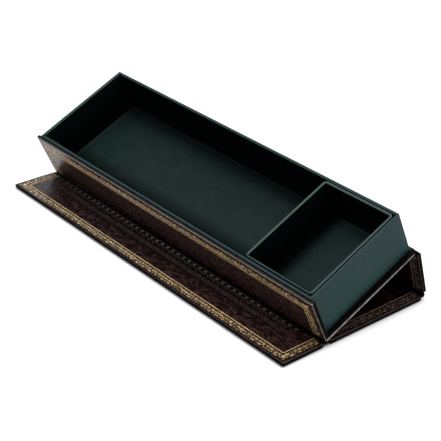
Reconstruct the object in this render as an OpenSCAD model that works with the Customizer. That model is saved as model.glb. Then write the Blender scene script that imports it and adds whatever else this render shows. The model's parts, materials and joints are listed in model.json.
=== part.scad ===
// Pen case of bookbinder's work, folded back into a stand.
// A paper-covered tray is glued into a leather wrap of five boards joined by leather hinges.
// The lid and its flap lie on the table, leather up. The spine stands on the lid's back hinge
// and holds up the back of the tray, whose front fold rests over the hinge between lid and flap.
// Sizes are in millimetres. X runs along the case, +Y to its back, +Z up.

/* [Tray] */
// Length of the tray, over its paper
tray_len = 215.2; // [170:0.2:260]
// Width of the tray from front to back, over its paper
tray_width = 59.4; // [48:0.2:76]
// Height of the tray from the base board to its rim
tray_h = 25.4; // [19:0.2:30]
// Thickness of the card in the tray's walls
wall_board_t = 1; // [0.7:0.1:1.6]
// Thickness of the card in the tray's floor
floor_board_t = 1.2; // [0.8:0.1:2]
// Thickness of the paper that covers and lines the tray and the insert
paper_t = 0.25; // [0.15:0.05:0.4]
// Radius of the tray's paper-covered edges
tray_edge_r = 0.5; // [0.3:0.05:0.55]
// How far the covering paper is turned down inside the rim
turn_down = 3; // [2:0.5:6]
// Width of the paper turned in under the tray
turn_under = 9; // [6:0.5:14]
// Thickness of the floor pad
pad_t = 0.5; // [0.4:0.05:0.8]
// Gap left round the floor pads, where the lining shows as a line
pad_gap = 1.8; // [0.8:0.1:2.4]

/* [Leather cover] */
// How far the cover stands past the tray at each end
overhang = 2.4; // [1.5:0.1:4]
// Thickness of the boards in the cover
board_t = 1.5; // [1.2:0.1:2]
// Thickness of the leather
leather_t = 0.6; // [0.4:0.05:0.8]
// Thickness of the lining paper inside the cover
lining_t = 0.3; // [0.2:0.05:0.4]
// Width of the leather border left round the lining
lining_margin = 3; // [2:0.5:6]
// Length of the flap board, from its hinge to its front edge
flap_len = 25.5; // [18:0.5:28]
// Radius of the cover's free edges
cover_edge_r = 0.8; // [0.5:0.05:1]
// Outer radius of the leather where it turns from the base up the front
fold_r = 1.2; // [1:0.1:1.8]

/* [Insert box] */
// Length of the small loose box
insert_len = 44.5; // [25:0.5:80]
// Thickness of the card in the insert's walls and floor
insert_board_t = 0.7; // [0.6:0.1:1.2]
// Radius of the insert's upright corners
insert_corner_r = 2; // [1:0.25:3.5]
// Radius of the insert's rim
insert_edge_r = 0.4; // [0.3:0.05:0.5]
// How far the insert's rim lies below the tray's rim
insert_drop = 0.5; // [0:0.1:2]
// Where the insert stands, as the gap to the tray's right end wall
insert_end_gap = 0.7; // [0.4:0.1:20]

/* [Magnets] */
// Diameter of the closing magnets
magnet_d = 8; // [5:0.5:10]
// Thickness of the closing magnets
magnet_t = 1; // [0.6:0.1:1.1]
// Distance between the two magnets of a pair
magnet_spacing = 120; // [60:5:150]
// Height of the magnets above the bottom of the closed case
magnet_h = 14; // [11:0.5:16]

/* [Fits] */
// Gap between the tray's rim and the closed lid
lid_gap = 0.4; // [0.3:0.1:1]
// Gap between the tray's back and the closed spine
back_gap = 0.4; // [0.3:0.1:1]
// Gap between the front board and the closed flap
flap_gap = 0.3; // [0.2:0.1:1]
// Gap between two boards where a hinge is closed square
joint_gap = 0.3; // [0.2:0.05:0.6]
// Gap between the front fold and the lid that it rests on
fold_gap = 0.3; // [0.2:0.05:0.5]
// Gap round the insert, at its front, back and underside
insert_gap = 0.3; // [0.3:0.05:0.8]
// Gap round a magnet in its board
magnet_gap = 0.1; // [0.05:0.05:0.2]

/* [Hidden] */
$fn = 48;
eps = 0.01;

BOARD_GREY = [0.55, 0.52, 0.47];
PAPER_TEAL = [0.17, 0.25, 0.25];
LINING_TEAL = [0.11, 0.17, 0.17];
LEATHER_BROWN = [0.17, 0.10, 0.10];
STEEL = [0.7, 0.7, 0.72];

// Walls and floor of the tray
wall_t = wall_board_t + 2 * paper_t;
tray_in_len = tray_len - 2 * wall_t;
tray_in_width = tray_width - 2 * wall_t;
tray_floor_h = 2 * paper_t + floor_board_t + pad_t;
pad_edge_r = 0.4 * pad_t;

// The closed cover, as a rectangle round the tray seen from its end
cover_len = tray_len + 2 * overhang;
cover_t = leather_t + board_t + lining_t;
closed_h = cover_t + tray_h + lid_gap + cover_t;
closed_back = cover_t + tray_width + back_gap + cover_t;
closed_front = -(flap_gap + cover_t);
front_h = closed_h - cover_t - lid_gap;

// Each hinge turns in the middle of the leather and lining glued together
hinge_in = (leather_t + lining_t) / 2;
joint_half = cover_t - hinge_in + joint_gap;
joint_len = cover_len - 2 * joint_gap;
spine_span = closed_h - 2 * hinge_in;
lid_span = closed_back - closed_front - 2 * hinge_in;
base_w = closed_back - hinge_in - joint_half;
spine_w = spine_span - 2 * joint_half;
lid_w = lid_span - 2 * joint_half;

// The stand, seen from its right end as [y, z] with the lid's back hinge at y = 0:
// the fold rests on the lid, so fold, back hinge and spine top make a triangle
lid_hinge = [0, cover_t - hinge_in];
fold_at = [-lid_span, cover_t + fold_gap + fold_r];
fold_in_tray = [fold_r, fold_r];
hinge_in_tray = [closed_back - hinge_in, hinge_in];
arm_in_tray = hinge_in_tray - fold_in_tray;
to_fold = fold_at - lid_hinge;
arm = norm(arm_in_tray);
reach = norm(to_fold);
hinge_corner = acos((spine_span ^ 2 + reach ^ 2 - arm ^ 2) / (2 * spine_span * reach));
spine_dir = atan2(to_fold.y, to_fold.x) - hinge_corner;
spine_hinge = lid_hinge + spine_span * [cos(spine_dir), sin(spine_dir)];
arm_at_rest = spine_hinge - fold_at;
tilt = atan2(arm_at_rest.y, arm_at_rest.x) - atan2(arm_in_tray.y, arm_in_tray.x);

// Turn of each hinge from flat to the stand, towards the leather
spine_fold = spine_dir - 180 - tilt;
lid_fold = -spine_dir;

// The origin is on the table under the middle of the whole case
spine_heel = [spine_span - joint_half, cover_t - hinge_in];
rear = spine_hinge.x + spine_heel.x * cos(spine_dir - 180) - spine_heel.y * sin(spine_dir - 180);
front = -(lid_span + joint_half + flap_len);
middle = (rear + front) / 2;

// The insert, seated on the tray's floor pad
insert_wall_t = insert_board_t + 2 * paper_t;
insert_width = tray_in_width - 2 * insert_gap;
insert_h = tray_h - tray_floor_h - insert_gap - insert_drop;
insert_x = tray_in_len / 2 - insert_end_gap - insert_len / 2;
insert_y = wall_t + insert_gap + insert_width / 2;
insert_z = tray_floor_h + insert_gap;
insert_floor_h = 2 * paper_t + insert_board_t + pad_t;

// Frames of the moving pieces
module at_spine_hinge() { translate([0, spine_hinge.x - middle, spine_hinge.y]) children(); }

module at_body() {
    at_spine_hinge() rotate([tilt, 0, 0]) translate([0, -hinge_in_tray.x, -hinge_in_tray.y]) children();
}

module at_tray() { at_body() translate([0, cover_t, cover_t]) children(); }

module at_insert() { at_tray() translate([insert_x, insert_y, insert_z]) children(); }

module at_spine() { at_spine_hinge() rotate([spine_dir - 180, 0, 0]) children(); }

module at_lid() { translate([0, -middle, lid_hinge.y]) rotate([180, 0, 0]) children(); }

module at_flap() { at_lid() translate([0, lid_span, 0]) children(); }

// A board's own frame starts past its hinge, with the leather face at z = 0
module past_hinge() { translate([0, joint_half, -hinge_in]) children(); }

// Flat outlines
module rounded_rect(w, h, r) {
    translate([r, 0]) square([w - 2 * r, h]);
    translate([0, r]) square([w, h - 2 * r]);
    for (x = [r, w - r], y = [r, h - r]) translate([x, y]) circle(r);
}

// Carries an outline drawn in [y, z] along X, from the middle to both sides
module along_x(length) {
    translate([-length / 2, 0, 0]) rotate([90, 0, 90]) linear_extrude(length) children();
}

// Carries an outline drawn in [x, z] along Y, from y = 0 to the given length
module along_y(length) {
    translate([0, length, 0]) rotate([90, 0, 0]) linear_extrude(length) children();
}

// A box centred in x, from y = 0 and z = 0
module box_from(x, y, z) { translate([-x / 2, 0, 0]) cube([x, y, z]); }

// A box centred in x and y, from z = 0
module box_on(x, y, z) { translate([-x / 2, -y / 2, 0]) cube([x, y, z]); }

// Boards of the cover
// The outside of a covered board: its two ends are rounded, and its far edge where it is free
module panel_outside(w, free) {
    intersection() {
        along_y(w) translate([-cover_len / 2, 0]) rounded_rect(cover_len, cover_t, cover_edge_r);
        if (free) {
            along_x(cover_len + 2 * eps) translate([-cover_t, 0])
                rounded_rect(w + cover_t, cover_t, cover_edge_r);
        }
    }
}

module panel_board(w) {
    translate([0, leather_t, leather_t]) box_from(cover_len - 2 * leather_t, w - 2 * leather_t, board_t);
}

// The lining runs on into a hinge, and stops at the margin along a free edge
module panel_lining(w, free) {
    lining_w = free ? w - lining_margin : w;
    translate([0, 0, leather_t + board_t]) box_from(cover_len - 2 * lining_margin, lining_w, lining_t);
}

module panel_leather(w, free) {
    difference() {
        panel_outside(w, free);
        panel_board(w);
        panel_lining(w, free);
    }
}

// Leather and lining glued together, folded by the given turn round the hinge line
module joint_strip(turn) {
    along_x(joint_len) {
        circle(hinge_in);
        translate([-joint_half, -hinge_in]) square([joint_half, 2 * hinge_in]);
        rotate(turn) translate([0, -hinge_in]) square([joint_half, 2 * hinge_in]);
    }
}

// Magnets lie in pairs along X, in a board's frame
module magnet_discs(y, z, clear) {
    for (side = [-1, 1]) translate([side * magnet_spacing / 2, y, z])
        cylinder(h = magnet_t, d = magnet_d + 2 * clear);
}

// Magnets face each other through the flap's lining and the front board's leather
module flap_magnet_discs(clear) {
    magnet_discs(closed_h - hinge_in - joint_half - magnet_h, leather_t + board_t - magnet_t, clear);
}

module front_magnet_discs(clear) { magnet_discs(magnet_h, leather_t, clear); }

// The front board's frame: y up the board, z from the leather inwards
module as_front() { rotate([90, 0, 0]) mirror([0, 0, 1]) children(); }

// Boxes of card covered with paper
// Four walls with a rounded rim, drawn round the middle
module walled_ring(x, y, h, wall, edge_r, corner_r) {
    intersection() {
        translate([0, 0, -h]) along_y_middle(y) translate([-x / 2, 0]) rounded_rect(x, 2 * h, edge_r);
        translate([0, 0, -h]) along_x(x) translate([-y / 2, 0]) rounded_rect(y, 2 * h, edge_r);
        linear_extrude(h) translate([-x / 2, -y / 2]) rounded_rect(x, y, corner_r);
        union() {
            for (side = [-1, 1]) {
                translate([0, side * (y - wall) / 2, -h]) along_x(x) translate([-wall / 2, 0])
                    rounded_rect(wall, 2 * h, edge_r);
                translate([side * (x - wall) / 2, 0, -h]) along_y_middle(y) translate([-wall / 2, 0])
                    rounded_rect(wall, 2 * h, edge_r);
            }
        }
    }
}

module along_y_middle(length) { translate([0, -length / 2, 0]) along_y(length) children(); }

// Four cards: the long pair between the short pair, trimmed to the box's corners
module wall_card(x, y, h, card, corner_r, side_x, side_y) {
    in = paper_t + card / 2;
    at_end = side_x != 0;
    intersection() {
        translate([side_x * (x / 2 - in), side_y * (y / 2 - in), paper_t])
            box_on(at_end ? card : x - 2 * paper_t - 2 * card, at_end ? y - 2 * paper_t : card,
                h - 2 * paper_t);
        translate([0, 0, -h]) linear_extrude(3 * h)
            translate([paper_t - x / 2, paper_t - y / 2])
                rounded_rect(x - 2 * paper_t, y - 2 * paper_t, corner_r);
    }
}

module wall_cards(x, y, h, card, corner_r) {
    for (side = [-1, 1]) {
        wall_card(x, y, h, card, corner_r, side, 0);
        wall_card(x, y, h, card, corner_r, 0, side);
    }
}

module floor_card(x, y, card, wall_card_t) {
    inset = 2 * (paper_t + wall_card_t);
    translate([0, 0, paper_t]) box_on(x - inset, y - inset, card);
}

// Lining sheet: over the floor card and up the walls to the turned-down edge
module inner_liner(x, y, h, wall, floor_card_t) {
    from = paper_t + floor_card_t;
    difference() {
        translate([0, 0, from])
            box_on(x - 2 * wall + 2 * paper_t, y - 2 * wall + 2 * paper_t, h - turn_down - from);
        translate([0, 0, from + paper_t]) box_on(x - 2 * wall, y - 2 * wall, h);
    }
}

// Covering paper: outside, over the rim, a little way down inside and in under the floor
module outer_wrap(x, y, h, wall, card, floor_card_t, edge_r, corner_r, under) {
    inner_x = x - 2 * (wall - paper_t);
    inner_y = y - 2 * (wall - paper_t);
    difference() {
        union() {
            walled_ring(x, y, h, wall, edge_r, corner_r);
            box_on(x - 2 * wall + eps, y - 2 * wall + eps, paper_t);
        }
        wall_cards(x, y, h, card, max(corner_r - paper_t, eps));
        translate([0, 0, paper_t]) box_on(inner_x, inner_y, h - turn_down - paper_t);
        translate([0, 0, -eps]) box_on(x - 2 * under, y - 2 * under, paper_t + 2 * eps);
    }
}

module floor_pad(x, y, wall, z) {
    pad_x = x - 2 * wall - 2 * pad_gap;
    pad_y = y - 2 * wall - 2 * pad_gap;
    translate([0, 0, z]) intersection() {
        translate([0, 0, -pad_t]) along_y_middle(pad_y) translate([-pad_x / 2, 0])
            rounded_rect(pad_x, 2 * pad_t, pad_edge_r);
        translate([0, 0, -pad_t]) along_x(pad_x) translate([-pad_y / 2, 0])
            rounded_rect(pad_y, 2 * pad_t, pad_edge_r);
        box_on(pad_x, pad_y, pad_t);
    }
}

// The tray
module in_tray() { at_tray() translate([0, tray_width / 2, 0]) children(); }

module tray_wall(side_x, side_y) {
    color(BOARD_GREY) in_tray()
        wall_card(tray_len, tray_width, tray_h, wall_board_t, tray_edge_r - paper_t, side_x, side_y);
}

module tray_front_wall() { tray_wall(0, -1); }

module tray_back_wall() { tray_wall(0, 1); }

module tray_left_wall() { tray_wall(-1, 0); }

module tray_right_wall() { tray_wall(1, 0); }

module tray_floor_board() {
    color(BOARD_GREY) in_tray() floor_card(tray_len, tray_width, floor_board_t, wall_board_t);
}

module tray_wrap() {
    color(PAPER_TEAL) in_tray()
        outer_wrap(tray_len, tray_width, tray_h, wall_t, wall_board_t, floor_board_t,
            tray_edge_r, tray_edge_r, turn_under);
}

module tray_liner() {
    color(LINING_TEAL) in_tray() inner_liner(tray_len, tray_width, tray_h, wall_t, floor_board_t);
}

module tray_floor_pad() {
    color(LINING_TEAL) in_tray() floor_pad(tray_len, tray_width, wall_t, tray_floor_h - pad_t);
}

// The cover's base and front, glued to the tray
module base_panel_board() {
    translate([0, cover_t, leather_t]) box_from(cover_len - 2 * leather_t, base_w - cover_t - leather_t, board_t);
}

module base_panel_filler() {
    translate([0, cover_t, leather_t + board_t])
        box_from(cover_len - 2 * lining_margin, base_w - cover_t, lining_t);
}

module front_panel_board() {
    as_front() translate([0, cover_t, leather_t])
        box_from(cover_len - 2 * leather_t, front_h - cover_t - leather_t, board_t);
}

module front_panel_filler() {
    as_front() translate([0, cover_t, leather_t + board_t])
        box_from(cover_len - 2 * lining_margin, front_h - cover_t - lining_margin, lining_t);
}

module base_board() { color(BOARD_GREY) at_body() base_panel_board(); }

module base_filler() { color(BOARD_GREY) at_body() base_panel_filler(); }

module front_board() {
    color(BOARD_GREY) at_body() difference() {
        front_panel_board();
        as_front() front_magnet_discs(magnet_gap);
    }
}

module front_filler() { color(BOARD_GREY) at_body() front_panel_filler(); }

module front_magnets() { color(STEEL) at_body() as_front() front_magnet_discs(0); }

// One piece of leather under the base, round the fold and up over the front board
module fold_outline() {
    difference() {
        union() {
            translate([0, fold_r]) square([cover_t, front_h]);
            translate([fold_r, 0]) square([base_w, cover_t]);
            translate([fold_r, fold_r]) circle(fold_r);
        }
        translate([base_w, -eps]) square([base_w, cover_t + 2 * eps]);
    }
}

module body_leather() {
    color(LEATHER_BROWN) at_body() difference() {
        intersection() {
            along_x(cover_len + 2 * eps) fold_outline();
            union() {
                panel_outside(base_w, false);
                as_front() panel_outside(front_h, true);
            }
        }
        base_panel_board();
        base_panel_filler();
        front_panel_board();
        front_panel_filler();
    }
}

// The insert box
module insert_wall(side_x, side_y) {
    color(BOARD_GREY) at_insert()
        wall_card(insert_len, insert_width, insert_h, insert_board_t, insert_corner_r - paper_t, side_x, side_y);
}

module insert_front_wall() { insert_wall(0, -1); }

module insert_back_wall() { insert_wall(0, 1); }

module insert_left_wall() { insert_wall(-1, 0); }

module insert_right_wall() { insert_wall(1, 0); }

module insert_floor_board() {
    color(BOARD_GREY) at_insert() floor_card(insert_len, insert_width, insert_board_t, insert_board_t);
}

module insert_wrap() {
    color(PAPER_TEAL) at_insert()
        outer_wrap(insert_len, insert_width, insert_h, insert_wall_t, insert_board_t, insert_board_t,
            insert_edge_r, insert_corner_r, turn_under);
}

module insert_liner() {
    color(LINING_TEAL) at_insert() inner_liner(insert_len, insert_width, insert_h, insert_wall_t, insert_board_t);
}

module insert_floor_pad() {
    color(LINING_TEAL) at_insert() floor_pad(insert_len, insert_width, insert_wall_t, insert_floor_h - pad_t);
}

// The spine
module spine_board() { color(BOARD_GREY) at_spine() past_hinge() panel_board(spine_w); }

module spine_leather() { color(LEATHER_BROWN) at_spine() past_hinge() panel_leather(spine_w, false); }

module spine_lining() { color(LINING_TEAL) at_spine() past_hinge() panel_lining(spine_w, false); }

module spine_joint() {
    color(LEATHER_BROWN) at_body() translate([0, hinge_in_tray.x, hinge_in_tray.y]) joint_strip(spine_fold);
}

module lid_joint() { color(LEATHER_BROWN) at_spine() translate([0, spine_span, 0]) joint_strip(lid_fold); }

// The lid and its flap
module lid_board() { color(BOARD_GREY) at_lid() past_hinge() panel_board(lid_w); }

module lid_leather() { color(LEATHER_BROWN) at_lid() past_hinge() panel_leather(lid_w, false); }

module lid_lining() { color(LINING_TEAL) at_lid() past_hinge() panel_lining(lid_w, false); }

module flap_joint() { color(LEATHER_BROWN) at_flap() joint_strip(0); }

module flap_board() {
    color(BOARD_GREY) at_flap() past_hinge() difference() {
        panel_board(flap_len);
        flap_magnet_discs(magnet_gap);
    }
}

module flap_leather() { color(LEATHER_BROWN) at_flap() past_hinge() panel_leather(flap_len, true); }

module flap_lining() { color(LINING_TEAL) at_flap() past_hinge() panel_lining(flap_len, true); }

module flap_magnets() { color(STEEL) at_flap() past_hinge() flap_magnet_discs(0); }

tray_floor_board();
tray_front_wall();
tray_back_wall();
tray_left_wall();
tray_right_wall();
tray_wrap();
tray_liner();
tray_floor_pad();
base_board();
base_filler();
front_board();
front_filler();
front_magnets();
body_leather();
insert_floor_board();
insert_front_wall();
insert_back_wall();
insert_left_wall();
insert_right_wall();
insert_wrap();
insert_liner();
insert_floor_pad();
spine_board();
spine_leather();
spine_lining();
spine_joint();
lid_joint();
lid_board();
lid_leather();
lid_lining();
flap_joint();
flap_board();
flap_leather();
flap_lining();
flap_magnets();
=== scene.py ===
# %% [markdown]
# A gold-tooled pen case, folded back into a stand
#
# The object is bookbinder's work: an open tray covered with dark teal paper, glued into a wrap-round
# cover of dark brown leather over boards. The leather has borders rolled on with gold leaf. The packed
# model brings the boards, the hinges' places and every size. This lesson makes what the eye sees over
# them: leather that turns round each edge, paper that is folded over a rim, gold that stands a hair
# above the grain. Lengths are in millimetres, as on the bench, and one function turns them into metres.

# %% Load the frame
import json
import math

import bpy
import numpy as np
from mathutils import Matrix, Vector


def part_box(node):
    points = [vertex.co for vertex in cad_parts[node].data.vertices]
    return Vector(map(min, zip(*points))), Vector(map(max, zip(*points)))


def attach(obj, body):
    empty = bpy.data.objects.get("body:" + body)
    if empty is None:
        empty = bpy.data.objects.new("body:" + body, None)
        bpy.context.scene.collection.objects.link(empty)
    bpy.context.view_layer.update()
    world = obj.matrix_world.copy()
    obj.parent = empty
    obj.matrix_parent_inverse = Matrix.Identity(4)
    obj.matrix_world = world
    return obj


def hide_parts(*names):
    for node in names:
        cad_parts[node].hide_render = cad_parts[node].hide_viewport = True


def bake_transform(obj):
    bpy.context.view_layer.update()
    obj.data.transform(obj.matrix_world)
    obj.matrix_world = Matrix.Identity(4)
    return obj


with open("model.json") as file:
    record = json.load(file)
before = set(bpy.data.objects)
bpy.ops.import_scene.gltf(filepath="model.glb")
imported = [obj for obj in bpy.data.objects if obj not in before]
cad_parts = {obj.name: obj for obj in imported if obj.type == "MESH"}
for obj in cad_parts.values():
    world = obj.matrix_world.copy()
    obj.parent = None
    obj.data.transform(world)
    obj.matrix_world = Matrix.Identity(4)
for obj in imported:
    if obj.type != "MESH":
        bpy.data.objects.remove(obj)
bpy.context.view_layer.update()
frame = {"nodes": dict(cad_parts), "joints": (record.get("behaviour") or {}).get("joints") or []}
MM = 0.001
print("nodes in the frame:", len(frame["nodes"]))

# %% [markdown]
# Where the hinges are
#
# Four boards turn on three leather hinges: base to spine, spine to lid, lid to flap. In the stand these
# hinges make a triangle, so the direction of each board follows from the hinges' places and from how
# far each may turn until the case is closed square. Reading them from the frame, instead of typing
# them, keeps every piece here on its board if the model changes.

# %% Hinges and board directions
joints = {j["name"]: j for j in frame["joints"]}


def hinge(name):
    """The hinge line's place in the end view, as y and z in millimetres."""
    return np.array(joints[name]["pos_m"][1:]) / MM


def box_mm(node):
    """Lowest and highest corner of a node, in millimetres."""
    low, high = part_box(node)
    return np.array(low) / MM, np.array(high) / MM


spine_top, lid_back, lid_front = hinge("spine_hinge"), hinge("lid_hinge"), hinge("flap_hinge")
spine_span = float(np.linalg.norm(spine_top - lid_back))
lid_span = float(np.linalg.norm(lid_back - lid_front))
spine_lean = math.degrees(math.atan2(*(spine_top - lid_back)[::-1]))
spine_fold = 90 - joints["spine_hinge"]["range_deg"][1]
lid_fold = 90 - joints["lid_hinge"]["range_deg"][1]
tilt = spine_lean - 180 - spine_fold
print(f"spine leans {spine_lean:.2f} degrees, tray tilts {tilt:.2f}")
print(f"hinges lie {spine_span:.2f} and {lid_span:.2f} apart")

# %% [markdown]
# The bench sizes
#
# These are the sizes a binder would write down: how thick board, leather and paper are, how far each
# edge is rounded, how far a lining stays back from it. The front board's height and the base's width
# are among them, because both lie tilted in the stand. The rest is measured on the frame's own nodes.
# A hinge's line runs in the middle of its leather and lining, HINGE_IN below the leather's face, and
# its boards begin JOINT_HALF away from it.

# %% Sizes in millimetres
LEATHER = 0.6
BOARD = 1.5
LINING = 0.3
COVER = LEATHER + BOARD + LINING
PAPER = 0.25
HINGE_IN = (LEATHER + LINING) / 2
JOINT_HALF = 2.25
EDGE_R = 0.8
SOFT_R = 1.3
CREASE_R = 0.5
FOLD_R = 1.2
END_R = 0.7
LINING_MARGIN = 3.0
PROUD = 0.15

half_len = box_mm("lid_leather")[1][0]
flap_reach = lid_front[0] - box_mm("flap_leather")[0][1]
FRONT_H = 27.8
BASE_END = 61.9
HINGE_AT = np.array([BASE_END + JOINT_HALF, HINGE_IN])
print(f"half length {half_len:.2f}, flap reaches {flap_reach:.2f} from its hinge")

# %% [markdown]
# Working in each board's own plane
#
# A panel is easy to describe lying flat: x along the case, y away from its hinge, z from the leather
# towards the lining. Each board then has a frame of its own, an origin in the end view and a turn about
# the case's long axis, and one function takes flat points to their place in the stand.

# %% Frames of the boards


def turned(y, z, degrees):
    """Turns y and z about the X axis."""
    c, s = math.cos(math.radians(degrees)), math.sin(math.radians(degrees))
    return y * c - z * s, y * s + z * c


def to_case(points, board):
    """Flat points of a board to the stand: turned about X by the board's angle, then moved to its origin."""
    origin, degrees = board
    y, z = turned(points[..., 1], points[..., 2], degrees)
    return np.stack([points[..., 0], y + origin[0], z + origin[1]], -1)


body_origin = spine_top - np.array(turned(HINGE_AT[0], HINGE_AT[1], tilt))
tray_origin = body_origin + np.array(turned(COVER, COVER, tilt))
BODY = (body_origin, tilt)
TRAY = (tray_origin, tilt)
SPINE = (spine_top, spine_lean - 180)
LID = (lid_back, 180)
FLAP = (lid_front, 180)

# %% [markdown]
# The camera
#
# The photograph was taken from the right front, a little above, with a long lens. Its place came from
# matching nineteen corners of the case, and the small roll is real: the picture leans two degrees.

# %% Camera
FRAME_PX = 441
FOCAL_PX = 1249.2
SENSOR = 36.0
VIEW_FROM = math.radians(48.67)
VIEW_HEIGHT = math.radians(28.30)
ROLL = math.radians(2.12)
AIM = np.array([-12.00, 19.97, -0.35])
DISTANCE = 673.1


def make_camera():
    """Looks back along a line at the given direction and height, and rolls about that line."""
    back = np.array([math.sin(VIEW_FROM) * math.cos(VIEW_HEIGHT),
                     -math.cos(VIEW_FROM) * math.cos(VIEW_HEIGHT), math.sin(VIEW_HEIGHT)])
    right = np.array([math.cos(VIEW_FROM), math.sin(VIEW_FROM), 0.0])
    up = np.cross(back, right)
    rolled_right = math.cos(ROLL) * right + math.sin(ROLL) * up
    rolled_up = -math.sin(ROLL) * right + math.cos(ROLL) * up
    data = bpy.data.cameras.new("camera")
    data.sensor_width = SENSOR
    data.lens = FOCAL_PX * SENSOR / FRAME_PX
    data.clip_start, data.clip_end = 0.01, 20.0
    camera = bpy.data.objects.new("camera", data)
    turn = Matrix(np.column_stack([rolled_right, rolled_up, back]).tolist()).to_4x4()
    camera.matrix_world = Matrix.Translation(Vector((AIM + back * DISTANCE) * MM)) @ turn
    bpy.context.scene.collection.objects.link(camera)
    bpy.context.scene.camera = camera
    return camera


camera = make_camera()
print(f"lens {camera.data.lens:.1f} mm")

# %% [markdown]
# A helper for shader nodes
#
# Every finish below is a small network of nodes. One function adds a node and fills its inputs: a
# number or colour is written on the socket itself, and another node's output is linked to it. That
# keeps each recipe as short as a list of ingredients.

# %% Shader helper


def add(tree, kind, inputs=None, **settings):
    """Adds a node. An input is a number, a colour, or the output of another node."""
    made = tree.nodes.new(kind)
    for name, value in settings.items():
        setattr(made, name, value)
    for name, value in (inputs or {}).items():
        if isinstance(value, bpy.types.NodeSocket):
            tree.links.new(value, made.inputs[name])
        else:
            made.inputs[name].default_value = value
    return made


def new_material(name):
    """An empty material and its node tree."""
    material = bpy.data.materials.new(name)
    material.use_nodes = True
    material.node_tree.nodes.clear()
    return material, material.node_tree


def finish_with(tree, shader):
    """Sends a shader's output to the surface."""
    add(tree, "ShaderNodeOutputMaterial", {"Surface": shader.outputs[0]})


def principled(tree, inputs):
    """The one kind of shader that all the case's own finishes use, sent to the surface."""
    finish_with(tree, add(tree, "ShaderNodeBsdfPrincipled", inputs))


def in_mm(tree, stretch=(1, 1, 1)):
    """The object's own coordinates in millimetres, so that a grain keeps its real size."""
    coords = add(tree, "ShaderNodeTexCoord").outputs["Object"]
    scale = [s / MM for s in stretch]
    return add(tree, "ShaderNodeMapping", {"Vector": coords, "Scale": scale}).outputs[0]


def noise(tree, at, per_mm, detail=2.0, roughness=0.5):
    """Cloudy noise with a given number of blotches per millimetre."""
    inputs = {"Vector": at, "Scale": per_mm, "Detail": detail, "Roughness": roughness}
    return add(tree, "ShaderNodeTexNoise", inputs).outputs["Fac"]


def ramp(tree, value, *stops):
    """Colours at places from 0 to 1, blended between them."""
    made = add(tree, "ShaderNodeValToRGB", {"Fac": value})
    elements = made.color_ramp.elements
    for element, (place, colour) in zip(list(elements), (stops[0], stops[-1])):
        element.position = place
        element.color = (*colour, 1)
    for place, colour in stops[1:-1]:
        elements.new(place).color = (*colour, 1)
    return made.outputs["Color"]


def spread(tree, value, low, high, from_low=0.0, from_high=1.0):
    """Maps a value from one range to another."""
    return add(tree, "ShaderNodeMapRange", {"Value": value, "From Min": from_low, "From Max": from_high,
                                            "To Min": low, "To Max": high}).outputs[0]


def math_node(tree, operation, a, b):
    """One sum on two values."""
    made = add(tree, "ShaderNodeMath", operation=operation)
    for socket, value in zip(made.inputs, (a, b)):
        if isinstance(value, bpy.types.NodeSocket):
            tree.links.new(value, socket)
        else:
            socket.default_value = value
    return made.outputs[0]


def times(tree, a, b):
    """The product of two values."""
    return math_node(tree, "MULTIPLY", a, b)


def mixed(tree, share, a, b):
    """Two colours, blended by a share from 0 to 1."""
    made = add(tree, "ShaderNodeMix", {"Factor": share}, data_type="RGBA")
    for socket, value in zip((made.inputs[6], made.inputs[7]), (a, b)):
        if isinstance(value, bpy.types.NodeSocket):
            tree.links.new(value, socket)
        else:
            socket.default_value = (*value, 1)
    return made.outputs[2]


def painted(tree, name):
    """A number that the piece carries on its points."""
    return add(tree, "ShaderNodeAttribute", attribute_name=name).outputs["Fac"]


def bumped(tree, height, depth_mm):
    """Tips the shading normal as if the surface rose by the given depth."""
    inputs = {"Height": height, "Distance": depth_mm * MM, "Strength": 1.0}
    return add(tree, "ShaderNodeBump", inputs).outputs[0]


def far_along(tree, low, high, reach):
    """A value that changes evenly along the case, from low at its left end to high at its right one. It
    is reached at the given distance from the middle."""
    along = add(tree, "ShaderNodeSeparateXYZ", {"Vector": in_mm(tree)}).outputs["X"]
    return spread(tree, along, low, high, -reach, reach)


# %% [markdown]
# Leather
#
# The cover is calf: almost black brown, with burgundy where the dye took less, a fine pebbled grain of
# about half a millimetre, and a polish that shows only at a low angle. Where it turns round an edge it
# is paler, partly from wear and partly as a painted highlight line. Where a tool has pressed it it is
# darker and smoother, and on the lid and spine, which lie in the stand's shade, painted shade darkens
# it the same way. Raised blind tooling carries a painted glint, and the front board gets painted light,
# because it faces down out of the light. All this is known when a panel is computed, so it travels on
# the panel's points as attributes, and the shader reads them. Two octaves of noise would give a stone;
# the cells of a Voronoi texture give skin. Where the leather is turned in it was never polished, so the
# same dye gets a second, matte finish there, which is also painted darker as shade on edges and ends.

# %% Leather material
LEATHER_DARK = (0.0026, 0.0011, 0.0010)
LEATHER_MID = (0.0170, 0.0078, 0.0070)
LEATHER_RED = (0.0920, 0.0410, 0.0380)
# Paler turns round edges and ends: partly worn leather, partly a painted highlight line.
LEATHER_WEAR_AND_HIGHLIGHT = (0.640, 0.620, 0.580)
# Darker where a tool pressed the leather; also painted shade on the lid and spine.
LEATHER_TOOLED_AND_SHADED = (0.0040, 0.0014, 0.0013)
# A painted glint on raised blind tooling, where beads would catch the light.
LEATHER_PAINTED_GLINT = (0.2400, 0.2100, 0.1900)
LEATHER_GILT = (0.1150, 0.0640, 0.0340)
# Painted light: the front board faces down out of the main light, so its colour is made lighter.
LEATHER_PAINTED_LIGHT = (0.0640, 0.0330, 0.0280)
# Turned-in leather: darker than the polished face, as painted shade on edges and ends out of the light.
TURNED_SHADED_DARK = (0.0012, 0.0008, 0.0008)
TURNED_SHADED_MID = (0.0036, 0.0020, 0.0021)
TURNED_SHADED_RED = (0.0075, 0.0040, 0.0043)
CASE_REACH = 110


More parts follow.
